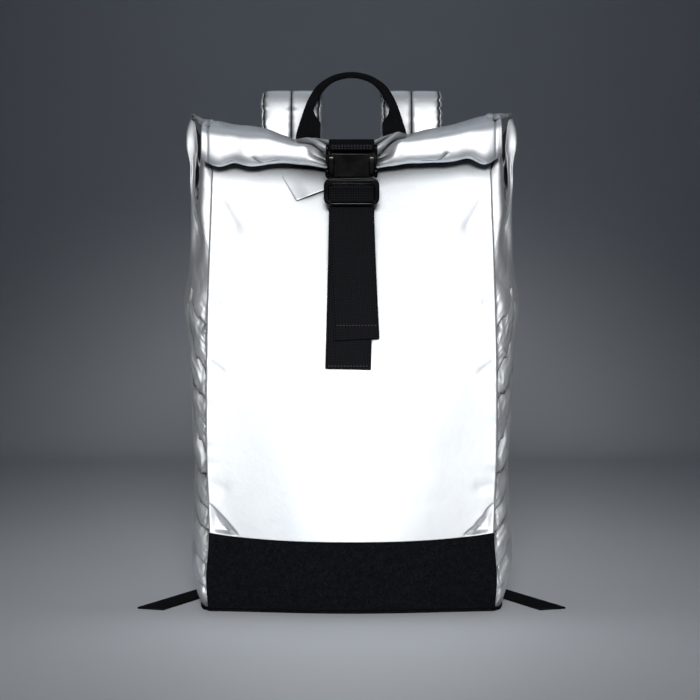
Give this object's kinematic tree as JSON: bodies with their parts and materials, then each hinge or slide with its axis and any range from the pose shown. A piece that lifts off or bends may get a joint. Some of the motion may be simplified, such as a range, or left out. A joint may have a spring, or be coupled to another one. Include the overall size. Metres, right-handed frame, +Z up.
{
  "type": "roll-top backpack",
  "caption": "Slim upright backpack of pale reflective cloth with a black base band, a rolled top held down by a buckled strap, a carry handle and padded shoulder straps.",
  "frame": {"origin": "middle of the base's underside, on the surface that the bag stands on", "axes": "+Z up, -Y the front with the buckle, +Y the wearer's side with the shoulder straps, +X to the right seen from the front"},
  "size_m": [0.3654, 0.1978, 0.4664],
  "materials": {
    "reflective_cloth": "retroreflective coated cloth, pale grey-white with a fine weave",
    "black_cloth": "coarse black nylon",
    "black_webbing": "woven nylon webbing",
    "black_plastic": "moulded acetal, satin"
  },
  "bodies": {
    "root": {"front_panel": "reflective_cloth", "front_band": "black_cloth", "back_panel": "reflective_cloth", "base_panel": "black_cloth", "gusset_left": "reflective_cloth", "gusset_right": "reflective_cloth", "roll_top": "reflective_cloth", "roll_strap": "black_webbing", "front_strap": "black_webbing", "buckle_socket": "black_plastic", "buckle_plug": "black_plastic", "carry_handle": "black_webbing", "shoulder_strap_left": "reflective_cloth", "shoulder_strap_right": "reflective_cloth", "shoulder_webbing_left": "black_webbing", "shoulder_webbing_right": "black_webbing", "adjuster_left": "black_plastic", "adjuster_right": "black_plastic"}
  },
  "joints": []
}
